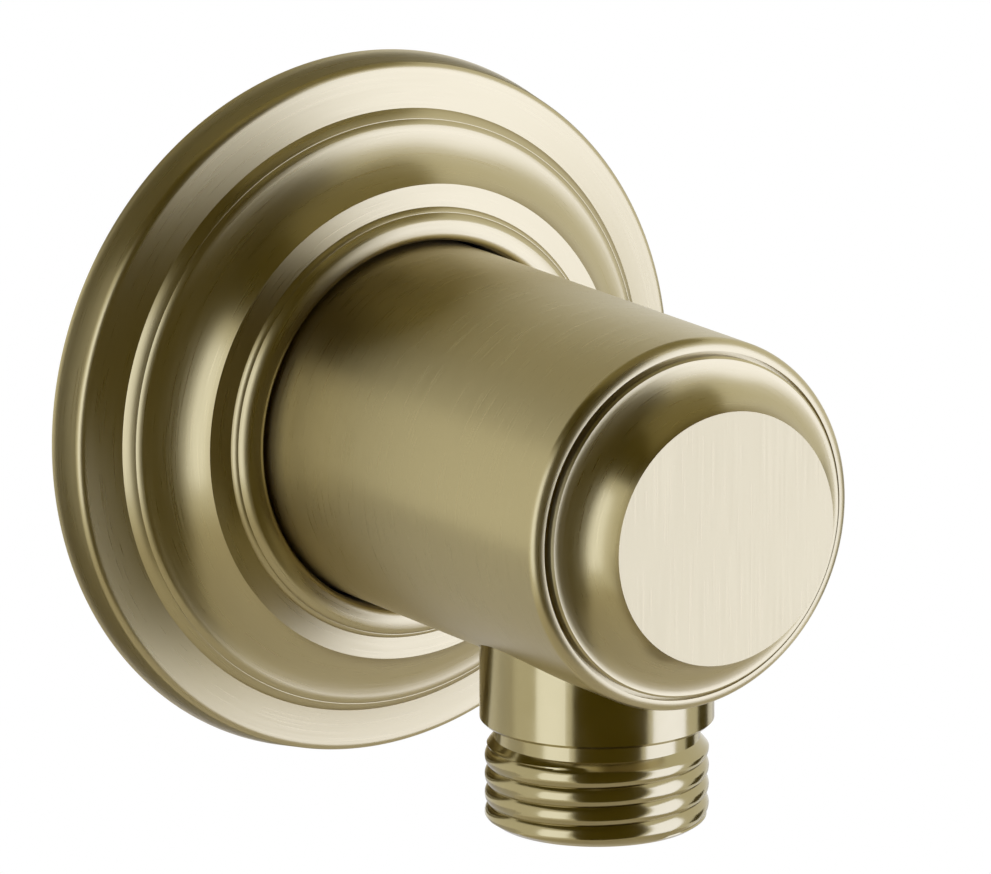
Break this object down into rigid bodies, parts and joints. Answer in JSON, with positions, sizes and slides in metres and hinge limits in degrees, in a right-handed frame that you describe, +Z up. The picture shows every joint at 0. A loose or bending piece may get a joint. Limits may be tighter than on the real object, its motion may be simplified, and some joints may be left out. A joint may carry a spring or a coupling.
{
  "type": "wall outlet elbow",
  "caption": "Shower wall outlet elbow: round barrel on a stepped escutcheon, coved end cap with a flat face, threaded hose nipple pointing down, non-return valve inside.",
  "frame": {"origin": "on the barrel's axis, in the plane of the wall that the escutcheon's back rim lies against", "axes": "+Y along the barrel's axis into the wall, -Y out into the room, +Z up, so the hose nipple points along -Z"},
  "size_m": [0.0684, 0.0622, 0.0684],
  "materials": {
    "brushed_bronze": "fine circumferential brushing, champagne bronze",
    "polished_bronze": "polished, champagne bronze",
    "black_rubber": "moulded rubber",
    "white_plastic": "moulded acetal",
    "spring_steel": "drawn stainless wire"
  },
  "bodies": {
    "elbow": {"elbow_body": "brushed_bronze", "end_cap": "brushed_bronze", "end_cap_o_ring": "black_rubber", "outlet_nipple": "polished_bronze", "nipple_o_ring": "black_rubber", "valve_housing": "white_plastic", "valve_guide": "white_plastic", "valve_spring": "spring_steel", "valve_o_ring": "black_rubber"},
    "wall_plate": {"escutcheon": "brushed_bronze", "escutcheon_o_ring": "black_rubber"},
    "poppet": {"valve_poppet": "white_plastic", "poppet_seal": "black_rubber"}
  },
  "joints": [
    {"name": "escutcheon_slide", "type": "slide", "parent": "elbow", "child": "wall_plate", "axis": [0, -1, 0], "range_m": [0, 0.018]},
    {"name": "poppet_slide", "type": "slide", "parent": "elbow", "child": "poppet", "axis": [0, 0, -1], "range_m": [0, 0.0025], "stiffness_N_per_m": 60, "springref_m": -0.003, "deforming": ["valve_spring"]}
  ]
}
